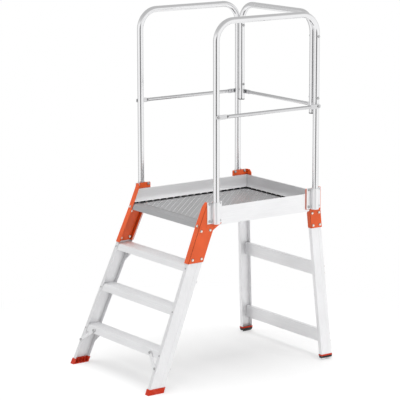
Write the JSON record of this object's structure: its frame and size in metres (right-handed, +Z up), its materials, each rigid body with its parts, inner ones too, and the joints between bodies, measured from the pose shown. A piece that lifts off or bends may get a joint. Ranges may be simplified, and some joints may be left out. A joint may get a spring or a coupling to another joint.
{
  "type": "step platform",
  "caption": "Free-standing aluminium step platform with grooved treads, a chequer-plate deck, toe boards, a tubular guard rail and orange corner brackets.",
  "frame": {"origin": "on the floor, in the middle of the footprint", "axes": "+Z up, +Y from the steps to the rear of the deck, +X to the right of a person who climbs"},
  "size_m": [0.793, 1.2741, 1.999],
  "materials": {
    "extruded_aluminium": "mill finish, drawn along the length",
    "tread_aluminium": "mill finish with grooves",
    "deck_aluminium": "rolled chequer plate",
    "board_aluminium": "satin extrusion",
    "tube_aluminium": "drawn tube, satin",
    "orange_paint": "powder coat, satin",
    "orange_plastic": "moulded, satin",
    "black_rubber": "moulded, matt",
    "black_plastic": "moulded, matt",
    "zinc_steel": "zinc plated"
  },
  "bodies": {
    "root": {"brace_bolts": "zinc_steel", "brace_front_left": "extruded_aluminium", "brace_front_right": "extruded_aluminium", "brace_rear_lower_left": "extruded_aluminium", "brace_rear_lower_right": "extruded_aluminium", "brace_rear_upper_left": "extruded_aluminium", "brace_rear_upper_right": "extruded_aluminium", "clamp_bolts": "zinc_steel", "clamp_front_left": "extruded_aluminium", "clamp_front_right": "extruded_aluminium", "clamp_rear_left": "extruded_aluminium", "clamp_rear_right": "extruded_aluminium", "crossbar_bolts": "zinc_steel", "crossbar_lower": "extruded_aluminium", "crossbar_upper": "extruded_aluminium", "deck_member_left": "extruded_aluminium", "deck_member_right": "extruded_aluminium", "deck_nosing": "tread_aluminium", "deck_plate": "deck_aluminium", "deck_rib_front": "extruded_aluminium", "deck_rib_middle": "extruded_aluminium", "deck_rib_rear": "extruded_aluminium", "edge_strip_left": "black_plastic", "edge_strip_rear": "black_plastic", "edge_strip_right": "black_plastic", "foot_ring_left": "orange_plastic", "foot_ring_right": "orange_plastic", "front_bracket_bolts": "zinc_steel", "front_bracket_left": "orange_paint", "front_bracket_right": "orange_paint", "front_shoe_left": "orange_plastic", "front_shoe_right": "orange_plastic", "guard_bolts": "zinc_steel", "joint_channel_left": "orange_paint", "joint_channel_right": "orange_paint", "mid_rail_left": "tube_aluminium", "mid_rail_rear": "tube_aluminium", "mid_rail_right": "tube_aluminium", "rail_plugs": "black_plastic", "rear_bracket_bolts": "zinc_steel", "rear_bracket_left": "orange_paint", "rear_bracket_right": "orange_paint", "rear_foot_left": "black_rubber", "rear_foot_right": "black_rubber", "rear_leg_left": "extruded_aluminium", "rear_leg_right": "extruded_aluminium", "rear_rail": "tube_aluminium", "side_rail_left": "tube_aluminium", "side_rail_right": "tube_aluminium", "stringer_left": "extruded_aluminium", "stringer_right": "extruded_aluminium", "toe_board_left": "board_aluminium", "toe_board_rear": "board_aluminium", "toe_board_right": "board_aluminium", "tread_lower": "tread_aluminium", "tread_middle": "tread_aluminium", "tread_rivets": "zinc_steel", "tread_upper": "tread_aluminium"}
  },
  "joints": []
}
